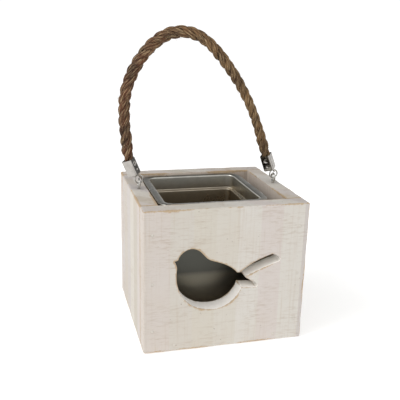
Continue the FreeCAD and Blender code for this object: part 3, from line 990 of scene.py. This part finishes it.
# %% Fibres on the strands
tree, sizes = start_nodes("stray_fibres", ["Per square metre", "Length", "Radius", "Lift"])
free_share = add(tree, "GeometryNodeInputNamedAttribute", {"Name": "free"})
density = add(tree, "ShaderNodeMath", {"Value": free_share,
                                       "Value_001": sizes.outputs["Per square metre"]},
              operation="MULTIPLY")
spots = add(tree, "GeometryNodeDistributePointsOnFaces", {"Mesh": sizes, "Density": density,
                                                          "Seed": 7})
yarn_way = add(tree, "GeometryNodeInputNamedAttribute", {"Name": "run"},
               data_type="FLOAT_VECTOR")
lifted = add(tree, "ShaderNodeVectorMath", {"Vector": spots.outputs["Normal"],
                                            "Scale": sizes.outputs["Lift"]},
             operation="SCALE")
way = add(tree, "ShaderNodeVectorMath", {"Vector": yarn_way, "Vector_001": lifted})
stray = add(tree, "FunctionNodeRandomValue", {"Min": (-FIBRE_STRAY,) * 3,
                                              "Max": (FIBRE_STRAY,) * 3,
                                              "Seed": 3}, data_type="FLOAT_VECTOR")
way = add(tree, "ShaderNodeVectorMath", {"Vector": way, "Vector_001": stray})
turn = add(tree, "FunctionNodeAlignRotationToVector", {"Vector": way}, axis="Z")
bend = add(tree, "GeometryNodeCurveQuadraticBezier", {"Start": (0, 0, 0), "Resolution": 5,
                                                      "Middle": (0.05, 0.12, 0.5),
                                                      "End": (0.1, -0.16, 0.95)})
bend = add(tree, "GeometryNodeTransform", {"Geometry": bend,
                                           "Scale": add(tree, "ShaderNodeCombineXYZ", {
                                               axis: sizes.outputs["Length"]
                                               for axis in "XYZ"})})
section = add(tree, "GeometryNodeCurvePrimitiveCircle", {"Resolution": 3,
                                                         "Radius": sizes.outputs["Radius"]})
fibre = add(tree, "GeometryNodeCurveToMesh", {"Curve": bend, "Profile Curve": section,
                                              "Fill Caps": True})
length_share = add(tree, "FunctionNodeRandomValue", {"Min": 0.35, "Max": 1.2, "Seed": 5})
fibres = add(tree, "GeometryNodeInstanceOnPoints", {"Points": spots, "Instance": fibre,
                                                    "Rotation": turn,
                                                    "Scale": length_share})
fibres = add(tree, "GeometryNodeRealizeInstances", {"Geometry": fibres})
fibres = add(tree, "GeometryNodeSetMaterial", {"Geometry": fibres, "Material": fibre_finish})
add(tree, "NodeGroupOutput", {"Geometry": fibres})

# %% [markdown]
# The strands and the fibres ride with the handle.

# %% The rope and its fibres
fuzz = grown(place_object("fibre_base", strand_mesh), tree,
             {"Per square metre": FIBRES, "Length": FIBRE_LENGTH, "Radius": FIBRE_RADIUS,
              "Lift": FIBRE_LIFT}, "rope_fibres")
for piece in (rope, fuzz):
    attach(piece, "handle")
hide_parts("rope")
print("fibres", len(fuzz.data.polygons), "faces")

# %% [markdown]
# ## Floor and light
# A pale floor and a bright, even room suit a white lantern. The light comes from all round, and
# a large soft lamp from the upper left gives the box its gentle modelling. The room has two
# darker places, high at the back and low at the right, and the polished metal mirrors them.
# The floor glows a little of itself, so that it stays as pale as the room.

# %% Floor
FLOOR_REACH = 3.0
FLOOR_GLOW = 0.36
floor_mesh = bpy.data.meshes.new("floor")
floor_mesh.from_pydata([(x * FLOOR_REACH, y * FLOOR_REACH, -0.5 * MM)
                        for x, y in ((-1, -1), (1, -1), (1, 1), (-1, 1))], [], [(0, 1, 2, 3)])
floor = place_object("floor", floor_mesh)
floor_finish, _, floor_shader, _ = start_material("studio_floor_pale_matt")
floor_shader.inputs["Base Color"].default_value = linear("#f6f6f5")
floor_shader.inputs["Roughness"].default_value = 0.9
floor_shader.inputs["Emission Color"].default_value = (1, 1, 1, 1)
floor_shader.inputs["Emission Strength"].default_value = FLOOR_GLOW
floor_mesh.materials.append(floor_finish)

# %% [markdown]
# The room is the world's background: one white strength, lowered smoothly inside each dark
# place. A dot product with the place's middle says how near a direction is to it.

# %% Room
ROOM = 1.06                 # brightness of the white room
DARKNESS = 0.10             # and of its dark areas
DARK_AREAS = [(78, 50, 46, 32), (10, 12, 19, 12)]   # direction, height, edge, core: degrees
world = bpy.data.worlds.new("studio")
scene.world = world
world.use_nodes = True
tree = world.node_tree
looking = add(tree, "ShaderNodeTexCoord")
strength = ROOM
for azimuth, height, edge, core in DARK_AREAS:
    azimuth, height, edge, core = (math.radians(a) for a in (azimuth, height, edge, core))
    middle = (math.cos(height) * math.cos(azimuth), math.cos(height) * math.sin(azimuth),
              math.sin(height))
    toward = add(tree, "ShaderNodeVectorMath", {"Vector": looking.outputs["Generated"],
                                                "Vector_001": middle},
                 operation="DOT_PRODUCT")
    strength = add(tree, "ShaderNodeMapRange", {
        "Value": toward, "From Min": math.cos(edge), "From Max": math.cos(core),
        "To Min": strength, "To Max": DARKNESS}, interpolation_type="SMOOTHSTEP")
tree.links.new(strength.outputs[0], tree.nodes["Background"].inputs["Strength"])
tree.nodes["Background"].inputs["Color"].default_value = (1, 1, 1, 1)

# %% [markdown]
# The lamp is nearly a metre wide, so its shadows are soft.

# %% Lamp
lamp_data = bpy.data.lights.new("key_lamp", "AREA")
lamp_data.size = 0.9
lamp_data.energy = 12.5
lamp = place_object("key_lamp", lamp_data)
lamp.location = (-1.4, -0.35, 1.4)
lamp_way = Vector((0, 0, 0.06)) - lamp.location
lamp.rotation_euler = lamp_way.to_track_quat("-Z", "Y").to_euler()
scene.view_settings.view_transform = "Standard"
print("lamp", lamp_data.energy, "W")
